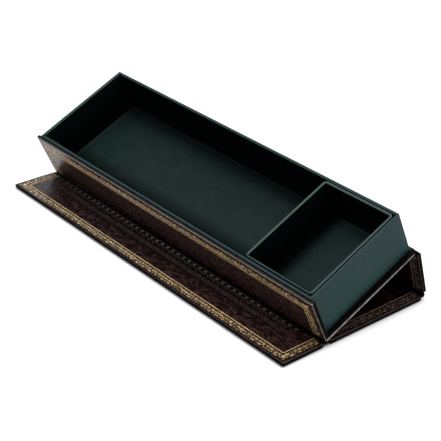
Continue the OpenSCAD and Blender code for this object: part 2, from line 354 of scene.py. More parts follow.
def dyed_skin(tree, dark, mid, red):
    """Colour and height shared by both finishes of the leather: colour that turns a little lighter towards
    the right end, creases and pores."""
    at = in_mm(tree)
    cells = add(tree, "ShaderNodeTexVoronoi", {"Vector": at, "Scale": 1.6, "Randomness": 1.0})
    pores = cells.outputs["Distance"]
    creases = noise(tree, at, 0.62, detail=5, roughness=0.62)
    clouds = noise(tree, in_mm(tree, (0.60, 1.0, 1.0)), 0.66, detail=5, roughness=0.70)
    dye = math_node(tree, "ADD", clouds, far_along(tree, -0.014, 0.016, 80))
    colour = ramp(tree, dye, (0.43, dark), (0.50, mid), (0.58, red))
    colour = mixed(tree, spread(tree, creases, 0.0, 0.70, 0.50, 0.68), colour, dark)
    colour = mixed(tree, spread(tree, pores, 0.0, 0.40, 0.25, 0.75), colour, dark)
    height = math_node(tree, "ADD", times(tree, pores, -0.35), creases)
    return colour, height, creases


def patchy(tree, creases, low=0.35, high=1.0):
    """A share that is high on the grain's ridges and low in its creases, so that wear comes in patches."""
    return spread(tree, creases, low, high, 0.36, 0.60)


def make_leather():
    """Polished calf: the dyed skin, and attributes for painted light on the front, for what is pressed
    dark or lies in painted shade, for the painted glint on raised tooling, for gilt, and for worn edges
    with a painted highlight line.
    """
    material, tree = new_material("leather_calf")
    colour, height, creases = dyed_skin(tree, LEATHER_DARK, LEATHER_MID, LEATHER_RED)
    worn = patchy(tree, creases)
    # Painted light on the front board, broken up by the grain.
    faded = times(tree, painted(tree, "faded"), patchy(tree, creases, 1.0, 0.2))
    colour = mixed(tree, faded, colour, LEATHER_PAINTED_LIGHT)
    # Darker where a tool pressed the leather, and as painted shade on the lid and spine.
    tooled = painted(tree, "tooled")
    colour = mixed(tree, tooled, colour, LEATHER_TOOLED_AND_SHADED)
    # Painted glint on the raised blind tooling.
    colour = mixed(tree, painted(tree, "raised"), colour, LEATHER_PAINTED_GLINT)
    colour = mixed(tree, times(tree, painted(tree, "gilt"), worn), colour, LEATHER_GILT)
    # Worn edges, with a painted highlight line on the same turns.
    colour = mixed(tree, times(tree, painted(tree, "edge"), worn), colour, LEATHER_WEAR_AND_HIGHLIGHT)
    grain_gloss = spread(tree, creases, 0.19, 0.33, 0.3, 0.7)
    gloss = math_node(tree, "SUBTRACT", grain_gloss, times(tree, tooled, 0.03))
    principled(tree, {"Base Color": colour, "Roughness": gloss, "IOR": 1.42, "Specular IOR Level": 0.36,
                      "Normal": bumped(tree, height, 0.05)})
    return material


def make_turned_leather_shaded():
    """The same skin where it is turned in and never polished: matte, with little reflection, and darker,
    which is painted shade on the edges and ends that lie out of the light.
    """
    material, tree = new_material("leather_turned_painted_shade")
    colour, height, creases = dyed_skin(tree, TURNED_SHADED_DARK, TURNED_SHADED_MID, TURNED_SHADED_RED)
    worn = patchy(tree, creases)
    # The same worn edges with a painted highlight line.
    colour = mixed(tree, times(tree, painted(tree, "edge"), worn), colour, LEATHER_WEAR_AND_HIGHLIGHT)
    principled(tree, {"Base Color": colour, "Roughness": spread(tree, creases, 0.50, 0.66, 0.3, 0.7),
                      "IOR": 1.45, "Specular IOR Level": 0.02, "Normal": bumped(tree, height, 0.06)})
    return material


leather = make_leather()
turned_leather_shaded = make_turned_leather_shaded()

# %% [markdown]
# Papers
#
# Two papers are used. The covering paper is dark teal with a satin face and a soft mottle, as on the
# tray's outside and its rim; its rim edges are paler, partly from wear and partly as a painted
# highlight. The lining inside is darker and takes light like a short nap, so it is rough and reflects
# little. On the upright walls and close to them it is painted almost black as painted shade, and its
# reflection is turned down there too; an attribute on the points says where. Both papers have fibres
# finer than the leather's grain.

# %% Paper materials
TEAL_LOW = (0.0115, 0.041, 0.042)
TEAL_HIGH = (0.0180, 0.055, 0.056)
# Paler rim edges: wear and a painted highlight.
TEAL_WEAR_AND_HIGHLIGHT = (0.190, 0.235, 0.245)
NAP_LOW = (0.0050, 0.0155, 0.0142)
NAP_HIGH = (0.0098, 0.0250, 0.0235)
# Painted shade: the lining on the walls and near them, almost black.
NAP_PAINTED_SHADE = (0.0010, 0.0022, 0.0018)
# The pale line at a pad's edge: partly wear, partly a painted highlight.
NAP_WEAR_AND_HIGHLIGHT = (0.0950, 0.1050, 0.1050)


def make_cover_paper():
    """Satin teal paper: a slow mottle for colour, fine fibres for the bump, paler on worn edges, where the
    paleness is also a painted highlight.
    """
    material, tree = new_material("paper_teal")
    at = in_mm(tree)
    mottle = noise(tree, at, 0.07, detail=4, roughness=0.6)
    fibres = noise(tree, in_mm(tree, (1.0, 0.45, 1.0)), 4.5, detail=4, roughness=0.7)
    colour = ramp(tree, mottle, (0.33, TEAL_LOW), (0.68, TEAL_HIGH))
    colour = mixed(tree, spread(tree, fibres, 0.0, 0.30, 0.35, 0.75), colour, TEAL_LOW)
    # Worn edges, with a painted highlight on them.
    worn_and_highlight = times(tree, painted(tree, "edge"), spread(tree, fibres, 0.2, 0.8, 0.3, 0.7))
    colour = mixed(tree, worn_and_highlight, colour, TEAL_WEAR_AND_HIGHLIGHT)
    principled(tree, {"Base Color": colour, "Roughness": spread(tree, fibres, 0.40, 0.55, 0.3, 0.7),
                      "IOR": 1.48, "Specular IOR Level": 0.14, "Normal": bumped(tree, fibres, 0.02)})
    return material


def make_lining_paper():
    """Lining with a short nap: dark and rough, with a weak reflection. Where painted shade lies on it, it
    turns almost black and its reflection fades.
    """
    material, tree = new_material("paper_lining")
    at = in_mm(tree)
    mottle = noise(tree, at, 0.11, detail=4, roughness=0.62)
    nap = noise(tree, at, 6.0, detail=3, roughness=0.7)
    colour = ramp(tree, mottle, (0.32, NAP_LOW), (0.70, NAP_HIGH))
    colour = mixed(tree, spread(tree, nap, 0.0, 0.4, 0.4, 0.7), colour, NAP_LOW)
    # Painted shade: almost black, with its reflection turned down as well.
    shy = painted(tree, "shy")
    colour = mixed(tree, shy, colour, NAP_PAINTED_SHADE)
    worn_and_highlight = times(tree, painted(tree, "edge"), spread(tree, nap, 0.4, 1.0, 0.3, 0.7))
    colour = mixed(tree, worn_and_highlight, colour, NAP_WEAR_AND_HIGHLIGHT)
    principled(tree, {"Base Color": colour, "Roughness": spread(tree, nap, 0.62, 0.50, 0.3, 0.7), "IOR": 1.45,
                      "Specular IOR Level": spread(tree, shy, 0.10, 0.01), "Normal": bumped(tree, nap, 0.03)})
    return material


cover_paper = make_cover_paper()
lining_paper = make_lining_paper()

# %% [markdown]
# Gold leaf
#
# The borders are gold leaf pressed on with a hot roll. Leaf is real metal, but it lies on grained skin
# and is old, so it is never a mirror: most of it is written as a plain warm colour and about a quarter
# as rough metal. It breaks up where the grain was too deep. It is paler towards the left end, which is a
# painted reflection of the bright surroundings there, and warmer towards the right. Two masks of noise,
# one of about a bead's size and one finer, let the leather through. The lid and the spine lie in the
# shade of the stand, so their leaf is darker and more broken, as painted shade.

# %% Gold material
# Pale tone at the left end: a painted reflection of the bright surroundings.
GOLD_PALE_SHEEN = (0.97, 0.74, 0.45)
GOLD_WARM = (1.00, 0.70, 0.34)
GOLD_WORN = (0.020, 0.010, 0.007)
# Painted shade: darker leaf for the lid and spine, which lie in the stand's shade.
SHADED_GOLD_PALE = (0.500, 0.420, 0.350)
SHADED_GOLD_WARM = (0.460, 0.350, 0.270)
SHADED_GOLD_WORN = (0.012, 0.007, 0.006)


def make_gold(name, pale, warm, worn, left):
    """Worn leaf: paler at the left end, as a painted reflection of the bright surroundings, and warm at
    the right, broken by a mask of about a bead's size and by a finer one. The firm rule keeps more of its
    leaf. A higher value of left leaves less."""
    material, tree = new_material(name)
    at = in_mm(tree)
    # Painted reflection: the leaf runs paler towards the left end, with some random tone on top.
    tone = math_node(tree, "ADD", far_along(tree, 0.1, 0.9, CASE_REACH),
                     spread(tree, noise(tree, at, 0.09, detail=3), -0.35, 0.35, 0.3, 0.7))
    break_up = noise(tree, at, 2.6, detail=4, roughness=0.7)
    dense = math_node(tree, "ADD", noise(tree, at, 1.5, detail=1), far_along(tree, 0.03, -0.03, CASE_REACH))
    coarse = spread(tree, dense, 0.0, 1.0, left, left + 0.16)
    firm = times(tree, painted(tree, "firm"), spread(tree, coarse, 0.5, 1.0))
    kept = times(tree, math_node(tree, "MAXIMUM", coarse, firm),
                 spread(tree, break_up, 0.24, 1.0, 0.40, 0.49))
    colour = ramp(tree, tone, (0.25, pale), (0.75, warm))
    colour = mixed(tree, kept, worn, colour)
    principled(tree, {"Base Color": colour, "Metallic": spread(tree, kept, 0.10, 0.28),
                      "Specular IOR Level": 0.25, "Roughness": spread(tree, break_up, 0.60, 0.44, 0.3, 0.7),
                      "Normal": bumped(tree, break_up, 0.03)})
    return material


gold = make_gold("gold_leaf", GOLD_PALE_SHEEN, GOLD_WARM, GOLD_WORN, 0.42)
gold_front = make_gold("gold_leaf_front", GOLD_PALE_SHEEN, GOLD_WARM, GOLD_WORN, 0.38)
# The lid's and the spine's leaf: painted shade, darker and more broken.
gold_shaded = make_gold("gold_leaf_painted_shade", SHADED_GOLD_PALE, SHADED_GOLD_WARM, SHADED_GOLD_WORN, 0.48)

# %% [markdown]
# What lies inside
#
# Grey board and nickelled magnets never show while the case is whole, but they are pieces of it, and a
# cut-away view or an exploded one shows them. Board is grey with flecks of darker pulp; the magnets'
# plating has faint turning marks.

# %% Board and steel materials
BOARD_LOW = (0.20, 0.18, 0.15)
BOARD_HIGH = (0.36, 0.33, 0.28)
BOARD_FLECK = (0.10, 0.085, 0.07)
NICKEL_LOW = (0.50, 0.49, 0.46)
NICKEL_HIGH = (0.66, 0.65, 0.62)


def make_board():
    """Grey millboard: pulp flecks over a slow mottle."""
    material, tree = new_material("board_grey")
    at = in_mm(tree)
    pulp = noise(tree, in_mm(tree, (1.0, 1.0, 3.0)), 2.2, detail=6, roughness=0.75)
    fleck = spread(tree, noise(tree, at, 1.3, detail=2), 0.0, 1.0, 0.60, 0.70)
    colour = ramp(tree, pulp, (0.30, BOARD_LOW), (0.70, BOARD_HIGH))
    colour = mixed(tree, fleck, colour, BOARD_FLECK)
    principled(tree, {"Base Color": colour, "Roughness": 0.88, "Normal": bumped(tree, pulp, 0.05)})
    return material


def make_steel():
    """Nickel plate with fine turning marks."""
    material, tree = new_material("nickel_plate")
    marks = noise(tree, in_mm(tree, (6.0, 6.0, 0.3)), 1.4, detail=4)
    principled(tree, {"Base Color": ramp(tree, marks, (0.3, NICKEL_LOW), (0.7, NICKEL_HIGH)),
                      "Metallic": 1.0, "Roughness": spread(tree, marks, 0.18, 0.34, 0.3, 0.7),
                      "Normal": bumped(tree, marks, 0.01)})
    return material


board = make_board()
steel = make_steel()

# %% [markdown]
# Surfaces from numbers
#
# Everything new is a grid of points: one direction follows a section, the other follows the piece. The
# cells of a grid number themselves, so a few lines of index arithmetic give all faces at once. A closed
# piece has a volume, and its sign says whether the faces look out or in, so that is measured, not
# guessed.

# %% Mesh helpers
SMOOTH_BELOW = math.radians(38)


def grid_cells(rows, columns, close_rows=False, close_columns=True):
    """Four corner numbers for each cell of a grid of points that is numbered row by row."""
    r = np.arange(rows if close_rows else rows - 1)[:, None]
    c = np.arange(columns if close_columns else columns - 1)[None, :]
    next_r, next_c = (r + 1) % rows, (c + 1) % columns
    here, there = r * columns, next_r * columns
    return np.stack([here + c, here + next_c, there + next_c, there + c], -1).reshape(-1, 4)


def volume(points, faces):
    """Signed volume: each face's triangles make cones with the origin."""
    total = 0.0
    for group in faces:
        for k in range(1, group.shape[1] - 1):
            a, b, c = points[group[:, 0]], points[group[:, k]], points[group[:, k + 1]]
            total += np.einsum("ij,ij->", a, np.cross(b, c)) / 6
    return total


def outward(points, faces):
    """The same faces, turned over if they enclose a negative volume."""
    centred = points - points.mean(0)
    return faces if volume(centred, faces) > 0 else [group[:, ::-1] for group in faces]


def merged(parts):
    """Several parts, each points and faces, as one."""
    starts = np.cumsum([0] + [len(points) for points, _ in parts[:-1]])
    faces = [group + start for (_, groups), start in zip(parts, starts) for group in groups]
    return np.concatenate([points for points, _ in parts]), faces


def make_piece(name, points, faces, material, second=None, **attributes):
    """A mesh object in metres from points in millimetres, with its attributes on its points. A second
    finish is a material and a mark on each point: a face gets it where all its points are marked."""
    corners = np.concatenate([group.ravel() for group in faces])
    sizes = np.concatenate([np.full(len(group), group.shape[1]) for group in faces])
    mesh = bpy.data.meshes.new(name)
    mesh.vertices.add(len(points))
    mesh.vertices.foreach_set("co", (points * MM).astype(np.float32).ravel())
    mesh.loops.add(len(corners))
    mesh.loops.foreach_set("vertex_index", corners.astype(np.int32))
    mesh.polygons.add(len(sizes))
    mesh.polygons.foreach_set("loop_start", np.concatenate([[0], np.cumsum(sizes)[:-1]]).astype(np.int32))
    mesh.update(calc_edges=True)
    mesh.validate()
    mesh.shade_smooth()
    mesh.set_sharp_from_angle(angle=SMOOTH_BELOW)
    for key, values in attributes.items():
        layer = mesh.attributes.new(key, "FLOAT", "POINT")
        layer.data.foreach_set("value", values.astype(np.float32).ravel())
    mesh.materials.append(material)
    if second:
        mesh.materials.append(second[0])
        marks = np.concatenate([second[1].ravel()[group].all(1) for group in faces])
        mesh.polygons.foreach_set("material_index", marks.astype(np.int32))
    made = bpy.data.objects.new(name, mesh)
    bpy.context.scene.collection.objects.link(made)
    print(f"{name}: {len(points)} points, {len(sizes)} faces")
    return made


# %% [markdown]
# Outlines with round corners
#
# A covered board's section is a polygon whose corners are rounded by what is wrapped round them. Each
# corner is an arc that touches its two sides, each side is cut into steps of a chosen length, and every
# point carries its outward direction. Steps are short only where something is pressed into the surface.

# %% Section outlines
ARC_STEPS = 6


def unit(v):
    """The direction of v, with length one."""
    return v / np.linalg.norm(v)


def corner_arc(before, corner, after, radius):
    """Points and outward directions round one corner of an outline that runs anticlockwise."""
    a, b = unit(corner - before), unit(after - corner)
    out_a, out_b = np.array([a[1], -a[0]]), np.array([b[1], -b[0]])
    if radius == 0:
        mitre = (out_a + out_b) / (1 + out_a @ out_b)
        return corner[None], mitre[None]
    turn = math.atan2(a[0] * b[1] - a[1] * b[0], a @ b)
    side = math.copysign(1.0, turn)
    start = corner - a * radius * abs(math.tan(turn / 2))
    centre = start - side * radius * out_a
    angles = np.linspace(0, turn, ARC_STEPS + 1)
    c, s = np.cos(angles), np.sin(angles)
    out = np.stack([out_a[0] * c - out_a[1] * s, out_a[0] * s + out_a[1] * c], -1)
    return centre + side * radius * out, out


def outline(corners, radii, steps):
    """A closed outline: arcs at the corners, and sides cut into pieces of about each side's step."""
    corners = np.array(corners, float)
    count = len(corners)
    arcs = [corner_arc(corners[i - 1], corners[i], corners[(i + 1) % count], radii[i]) for i in range(count)]
    points, directions = [], []
    for i, (arc, out) in enumerate(arcs):
        end = arcs[(i + 1) % count][0][0]
        pieces = max(1, round(np.linalg.norm(end - arc[-1]) / steps[i]))
        share = (np.arange(1, pieces) / pieces)[:, None]
        along = unit(end - arc[-1])
        points += [arc, arc[-1] * (1 - share) + end * share]
        directions += [out, np.tile([along[1], -along[0]], (pieces - 1, 1))]
    return np.concatenate(points), np.concatenate(directions)


# %% [markdown]
# Carrying a section along the case
#
# All the boards are bars: one section, carried along X. At both ends the leather turns over the board's
# end, so the section shrinks there by a quarter round while it moves on. What is pressed into the
# leather is a height added along the outward direction, worked out for the whole grid in one go.

# %% Bars with rounded ends
END_TURN = np.radians([0.0, 18.0, 36.0, 54.0, 72.0])


def carried(section, outward_2d, x_between, half, end_r):
    """Grid of points (x, y, z) and of outward directions: rows along X, columns round the section.
    At angle t of the end's quarter round the section has moved in by r(1 - cos t) and on by r sin t."""
    on = half - end_r + end_r * np.sin(END_TURN) / math.sin(END_TURN[-1])
    move_in = end_r * (1 - np.cos(END_TURN))
    x = np.concatenate([-on[::-1], x_between, on])
    inset = np.concatenate([move_in[::-1], np.zeros(len(x_between)), move_in])
    tip = np.concatenate([-np.sin(END_TURN[::-1]), np.zeros(len(x_between)), np.sin(END_TURN)])
    lie = np.sqrt(1 - tip ** 2)
    yz = section[None] - inset[:, None, None] * outward_2d[None]
    points = np.concatenate([np.broadcast_to(x[:, None, None], yz.shape[:2] + (1,)), yz], -1)
    out = np.concatenate([np.broadcast_to(tip[:, None, None], yz.shape[:2] + (1,)),
                          outward_2d[None] * lie[:, None, None]], -1)
    return points, out


def bar_faces(rows, columns):
    """Cells round the bar, and one flat face at each end."""
    ends = np.array([np.arange(columns)[::-1], (rows - 1) * columns + np.arange(columns)])
    return [grid_cells(rows, columns), ends]


def make_bar(name, points, board, material, second=None, **attributes):
    """A piece from a bar's grid of flat points, moved to its board's place in the stand."""
    placed = to_case(points.reshape(-1, 3), board)
    faces = outward(placed, bar_faces(*points.shape[:2]))
    return make_piece(name, placed, faces, material, second, **attributes)


def end_wear_and_highlight(out, face, begin=0.6):
    """How much the turn from a face to the ends is worn and carries a painted highlight line: 1 halfway round
    it, 0 on the flat and at the end. Twice the product of two directions of a unit vector is one at 45
    degrees. The mark begins where that reaches the given value, so a low one marks more of the turn's width."""
    return np.clip((2 * np.abs(out[..., 0]) * np.clip(face, 0, 1) - begin) / 0.4, 0, 1)


def even(low, high, step):
    """Places from low to high at about the given step."""
    return np.linspace(low, high, max(2, round((high - low) / step) + 1))


def wavy(points, size, length):
    """A slow handmade unevenness: three sine waves across each other, of the given height and length."""
    k = 2 * math.pi / length
    x, y, z = points[..., 0], points[..., 1], points[..., 2]
    waves = np.sin(k * x + 0.7) + np.sin(k * (0.8 * y - 0.5 * x) + 2.1) + np.sin(k * (1.3 * z + 0.4 * x))
    return size / 3 * waves


# %% [markdown]
# Tooling as relief
#
# A roll pressed into leather leaves a shallow track. Distances are measured from the panel's free
# edges, which makes the track turn its corners in a mitre by itself: the nearest edge wins. The flap
# also has a band worked without gold along its hinge: beads, a lattice of lozenges and two crossing
# waves. It is all height: domes, ridges and grooves, added as smooth functions of place. A bump texture
# would be cheaper, but then the ridges would not stand out where the flap is seen edge on.

# %% Pressed tracks and blind tooling
RULE_AT = 6.0
CHAIN_AT = 4.0
DASH_AT = 2.25
RULE_W = 0.56
TRACK_DEPTH = 0.07
TRACK_HALF = 1.9
LINE_HALF = 0.45
BLIND_PITCH = 4.35
BLIND_HALF = 96.5
BLIND_DEPTH = 0.20
BEADS_AT = 3.9
BEAD_R = 0.95
LATTICE_AT = 5.6
LOZENGE_HALF = (2.1, 1.15)
WAVE_AT = 9.5
WAVE_HALF = 1.15
WAVE_LINE = 0.38
BLIND_GROOVES = ((2.55, 0.22), (7.1, 0.30), (12.0, 0.32))
GROUND_AT, GROUND_HALF, GROUND_DEPTH = 7.3, 4.9, 0.45
FRAME_AT = 17.6
FRAME_HALF = 98.4
FRAME_LINE = 0.22


def groove(distance, width):
    """A soft-edged groove, 1 in its middle and 0 outside."""
    return np.exp(-((distance / width) ** 4))


def track(from_edge, shift=0.0):
    """How deep the gold's track is pressed, from 0 to 1: one wide band and one narrow line."""
    band = groove(from_edge - shift - (CHAIN_AT + DASH_AT) / 2, TRACK_HALF)
    line = groove(from_edge - shift - RULE_AT, LINE_HALF)
    return np.maximum(band, line)


def blind_band(x, s):
    """Blind tooling along the flap's hinge, at a distance s from it: beads, a lattice of lozenges, two
    crossing waves and three grooves, on ground that is pressed down. Gives height, dark and raised."""
    inside = groove(x, BLIND_HALF) * (np.abs(x) < BLIND_HALF)
    across = np.mod(x, BLIND_PITCH) - BLIND_PITCH / 2
    bead = np.clip(1 - (across ** 2 + (s - BEADS_AT) ** 2) / BEAD_R ** 2, 0, 1) ** 0.5
    from_row = np.abs(s - LATTICE_AT)
    lozenge = np.abs(across) / LOZENGE_HALF[0] + from_row / LOZENGE_HALF[1]
    lattice = groove(lozenge - 0.85, 0.28) * (from_row < 1.3)
    swing = WAVE_HALF * np.sin(2 * math.pi * x / BLIND_PITCH)
    wave = groove(s - WAVE_AT - swing, WAVE_LINE) + groove(s - WAVE_AT + swing, WAVE_LINE)
    grooves = sum(groove(s - at, half) for at, half in BLIND_GROOVES)
    ground = GROUND_DEPTH * groove(s - GROUND_AT, GROUND_HALF)
    raised = 1.5 * bead + 0.6 * lattice + 0.6 * np.clip(wave, 0, 1)
    dark = np.clip(1.8 * ground + grooves - raised, 0, 1)
    # The last value says where the raised tooling carries a painted glint.
    return inside * (raised - ground - 0.8 * grooves), inside * dark, inside * np.clip(raised, 0, 1) ** 2


def blind_frame(x, s):
    """One blind line round the flap's plain field."""
    along = groove(s - FRAME_AT, FRAME_LINE) * (np.abs(x) < FRAME_HALF + 0.2)
    ends = groove(np.abs(x) - FRAME_HALF, FRAME_LINE) * (s < FRAME_AT + 0.2) * (s > 2.6)
    return along + ends


# %% [markdown]
# The leather covers
#
# Each cover is a bar round its board. The section is a rectangle with four round corners: softer where
# the leather turns over a free edge, tighter where it dips into a hinge. The lining side sits a little
# lower, because the lining paper lies on top of the turned-in leather there. Only the face that is
# tooled has a fine grid, so the piece stays light.

# %% Panel covers
LEATHER_FACE = -HINGE_IN
LINING_FACE = COVER - HINGE_IN
TURN_IN_FACE = LINING_FACE - PROUD
FLAT = 0.999
LEATHER_WAVES = (0.05, 37)
FINE, COARSE = 0.3, 2.0
END_CLEAR = 0.9


def panel_section(near, far, free, face_step):
    """Section of a covered board, leather face first. Its far edge is free or goes into a hinge."""
    corners = [(near, LEATHER_FACE), (far, LEATHER_FACE), (far, TURN_IN_FACE), (near, TURN_IN_FACE)]
    radii = [CREASE_R, EDGE_R if free else CREASE_R, SOFT_R if free else EDGE_R, EDGE_R]
    return outline(corners, radii, [face_step, 0.5, 2.5, 0.5])


def panel_cover(name, plane, near, far, free, x_between, face_step, relief, wear_and_highlight, far_wear_and_highlight, body, *nodes):
    """A leather cover round one board. relief(x, distance from hinge) gives height, and how far a place
    is darkened (by tooling, and on the lid and spine by painted shade), raised or gilt. The turns to the
    ends are made paler, as wear and as a painted highlight line: by the first amount at the leather face
    and by the second at the lining's side."""
    section, out2 = panel_section(near, far, free, face_step)
    points, out = carried(section, out2, x_between, half_len, END_R)
    on_face = (out[..., 2] < -FLAT).astype(float)
    height, tooled, raised, gilt = relief(points[..., 0], points[..., 1])
    # Paler turns to the ends: wear and a painted highlight line.
    edge = wear_and_highlight * end_wear_and_highlight(out, -out[..., 2]) + far_wear_and_highlight * end_wear_and_highlight(out, out[..., 2])
    points = points + out * (on_face * height + wavy(points, *LEATHER_WAVES))[..., None]
    made = make_bar(name, points, plane, leather, (turned_leather_shaded, out[..., 2] > -0.9), edge=edge,
                    tooled=on_face * tooled, raised=on_face * raised, gilt=on_face * gilt,
                    faded=np.zeros_like(gilt))
    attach(made, body)
    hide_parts(*nodes)


def end_dense(coarse, margin=8.0):
    """Places along X: close together near both ends, where the tooling is, and wide apart between."""
    limit = half_len - END_CLEAR
    outer = even(limit - margin, limit, FINE)
    return np.concatenate([-outer[::-1], even(-limit + margin, limit - margin, coarse)[1:-1], outer])


def flap_relief(x, s):
    """Gold track along three edges, the blind band by the hinge and one blind line. The skin outside the
    track and the thin strip between its two parts are pressed dark too."""
    from_edge = np.minimum(half_len - np.abs(x), flap_reach - s)
    press = track(from_edge)
    band, dark, raised = blind_band(x, s)
    line = blind_frame(x, s)
    height = BLIND_DEPTH * band - TRACK_DEPTH * press - 0.06 * line
    bare = 0.85 * np.clip((1.7 - from_edge) / 0.4, 0, 1) + groove(from_edge - 5.2, 0.32)
    return height, np.clip(dark + 0.7 * line + bare, 0, 1), raised, 0.25 * press


def end_relief(x, s):
    """Gold track along the two ends only. The whole face is darkened as painted shade, because the lid
    and the spine lie in the shade of the stand.
    """
    press = track(half_len - np.abs(x))
    return -TRACK_DEPTH * press, np.full_like(press, 0.65), np.zeros_like(press), 0.25 * press


lid_far, spine_far = lid_span - JOINT_HALF, spine_span - JOINT_HALF
all_fine, ends_fine = even(END_CLEAR - half_len, half_len - END_CLEAR, FINE), end_dense(COARSE)
panel_cover("flap_cover", FLAP, JOINT_HALF, flap_reach, True, all_fine, 0.27,
            flap_relief, 0.08, 0.0, "flap", "flap_leather")
panel_cover("lid_cover", LID, JOINT_HALF, lid_far, False, ends_fine, 1.0,
            end_relief, 0.07, 0.8, "lid", "lid_leather")
panel_cover("spine_cover", SPINE, JOINT_HALF, spine_far, False, ends_fine, 1.0,
            end_relief, 0.07, 0.8, "spine", "spine_leather")

# %% [markdown]
# The base and front in one skin
#
# Base and front are two boards under one piece of leather, which turns from one to the other in a round
# fold. The section is an L, the inner corner of which is concave. The front's gold track follows its
# top edge and both ends, a little further in than on the flap. Hands open the case by the front's top
# edge and the base's ends. The ends are worn palest and carry a painted highlight line, and the front's
# top edge has a painted sheen on a darkened face. The front gets painted light, because it faces down
# out of the light.

# %% Base and front cover
FRONT_SHIFT = 1.6
CREVICE_R = 1.5
CREVICE_AT = 0.85
# How much painted light the front board gets, because it faces down out of the main light.
FRONT_PAINTED_LIGHT = 0.52
# Paleness at the front's and the base's ends (wear and a painted highlight), and the painted sheen on the
# front's top edge.
FRONT_WEAR_AND_HIGHLIGHT, BASE_WEAR_AND_HIGHLIGHT, RIM_SHEEN = 0.36, 1.25, 0.85


def body_section():
    """The L: base along y, front up z, anticlockwise from the fold."""
    corners = [(0, 0), (BASE_END, 0), (BASE_END, COVER), (COVER, COVER), (COVER, FRONT_H), (0, FRONT_H)]
    radii = [FOLD_R, CREASE_R, EDGE_R, 0.3, CREVICE_R, EDGE_R]
    return outline(corners, radii, [1.5, 0.5, 2.5, 2.5, 0.5, 0.35])


def make_body_cover():
    """Leather round the base and the front, with the front's gold track pressed in."""
    section, out2 = body_section()
    points, out = carried(section, out2, end_dense(1.0, 10.0), half_len, END_R)
    on_front = (out[..., 1] < -FLAT).astype(float)
    from_edge = np.minimum(half_len - np.abs(points[..., 0]), FRONT_H - points[..., 2])
    press = track(from_edge, FRONT_SHIFT)
    lift = -TRACK_DEPTH * on_front * press + wavy(points, *LEATHER_WAVES) * (np.abs(out[..., 0]) < 0.5)
    glued = (out[..., 1] > 0.5) | (out[..., 2] > 0.5)
    points = points + out * np.where(glued, 0, lift)[..., None]
    front, under = -out[..., 1], -out[..., 2]
    # The front's top edge: a darkened face with a painted sheen line, weaker towards the left end.
    rim = out[..., 2] * (points[..., 2] > FRONT_H - 1) * (points[..., 1] < CREVICE_AT)
    # Faces that are not the polished face take the matte turned finish, painted darker as shade.
    unpolished_and_shaded = np.maximum(np.maximum(front, under), rim) < 0.5
    rim_sheen_taper = np.clip((points[..., 0] + 112) / 42, 0.25, 1)
    rim_sheen = RIM_SHEEN * groove(rim - 0.3, 0.25) * (rim > 0.02) * rim_sheen_taper
    # Ends: wear and a painted highlight line; front's top edge: painted sheen.
    worn_and_highlight = FRONT_WEAR_AND_HIGHLIGHT * end_wear_and_highlight(out, front) + BASE_WEAR_AND_HIGHLIGHT * end_wear_and_highlight(out, under, 0.1) + rim_sheen
    # The front board gets painted light, because it faces down out of the light.
    made = make_bar("body_cover", points, BODY, leather, (turned_leather_shaded, unpolished_and_shaded), edge=worn_and_highlight,
                    tooled=0.5 * np.clip(rim, 0, 1), raised=np.zeros_like(press),
                    gilt=0.35 * on_front * press, faded=FRONT_PAINTED_LIGHT * on_front)
    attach(made, "tray")
    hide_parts("body_leather")


make_body_cover()

# %% [markdown]
# Lining papers
#
# The lining is pasted last. It covers the board and the raw edge of the turned-in leather, leaves a
# narrow border of leather, and runs down over the board's edge into the hinge, so that nothing raw
# shows when the case is open. Its section is a thin angle that follows the rounded edge.

# %% Linings of the boards
BURIED = 0.35
PAPER_WAVES = (0.04, 31)


def lining_section(near, far, free):
    """A thin cap over the lining side: it stops at the border on a free edge, and goes down into a hinge."""
    low, deep = HINGE_IN - 0.1, TURN_IN_FACE - BURIED
    start = far - LINING_MARGIN if free else far + PROUD
    corners = [(start, LINING_FACE), (near - PROUD, LINING_FACE), (near - PROUD, low),
               (near + BURIED, low), (near + BURIED, deep)]
    radii = [0.1 if free else EDGE_R + PROUD, EDGE_R + PROUD, 0, 0, 0]
    if free:
        corners += [(start, deep)]
        radii += [0]
    else:
        corners += [(far - BURIED, deep), (far - BURIED, low), (start, low)]
        radii += [0, 0, 0]
    return outline(corners, radii, [2.5] + [0.5] * (len(corners) - 1))


def panel_lining(name, plane, near, far, free, body, *nodes):
    """Lining paper on one board."""
    section, out2 = lining_section(near, far, free)
    points, out = carried(section, out2, even(-104, 104, 2.0), half_len - LINING_MARGIN, 0.08)
    on_face = out[..., 2] > FLAT
    points = points + out * (on_face * np.minimum(wavy(points, *PAPER_WAVES), 0))[..., None]
    made = make_bar(name, points, plane, lining_paper)
    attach(made, body)
    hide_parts(*nodes)


panel_lining("flap_paper", FLAP, JOINT_HALF, flap_reach, True, "flap", "flap_lining")
panel_lining("lid_paper", LID, JOINT_HALF, lid_far, False, "lid", "lid_lining")
panel_lining("spine_paper", SPINE, JOINT_HALF, spine_far, False, "spine", "spine_lining")

# %% [markdown]
# Hinges
#
# A hinge is leather and lining glued together, bent on a small radius. Its section follows a path of
# two straight arms and an arc between them, and everything is set off from that path by a depth: minus
# towards the leather, plus towards the lining. Each hinge is bent to the angle between its two boards
# in the stand. The flap's hinge lies flat under the fold of the cover, so its leather is sunk a little:
# when the flap is lifted, it bulges up and must not reach the fold.

# %% Hinge strips
BEND_R = 0.8
TUCK = 0.15
SUNK = 0.35
STRIP_POINTS = 33


